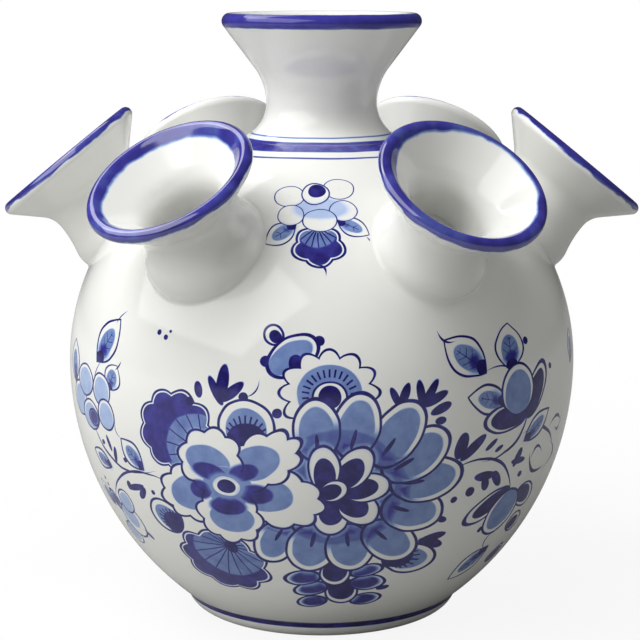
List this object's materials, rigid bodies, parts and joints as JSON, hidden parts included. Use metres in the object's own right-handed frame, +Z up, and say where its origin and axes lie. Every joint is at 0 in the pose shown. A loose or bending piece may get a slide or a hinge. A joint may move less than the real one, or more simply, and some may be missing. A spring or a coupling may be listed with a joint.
{
  "type": "tulipiere",
  "caption": "Globe-shaped flower vase of glazed earthenware on a low foot ring, with a flared neck in the middle and flared flower spouts round its shoulder.",
  "frame": {"origin": "centre of the foot's standing face", "axes": "+Z up along the globe's axis, the painted front towards -Y"},
  "size_m": [0.1654, 0.1504, 0.1565],
  "materials": {
    "glaze": "white tin glaze, glossy, painted in cobalt blue with flowers on the globe and bands on every lip",
    "foot": "white tin glaze, wiped off the standing face",
    "slip": "luting slip under the glaze"
  },
  "bodies": {
    "root": {"globe_body": "glaze", "foot_ring": "foot", "centre_neck": "glaze", "spout_front_left": "glaze", "spout_front_right": "glaze", "spout_left": "glaze", "spout_right": "glaze", "spout_back_left": "glaze", "spout_back_right": "glaze", "neck_slip": "slip", "foot_slip": "slip", "slip_front_left": "slip", "slip_front_right": "slip", "slip_left": "slip", "slip_right": "slip", "slip_back_left": "slip", "slip_back_right": "slip"}
  },
  "joints": []
}
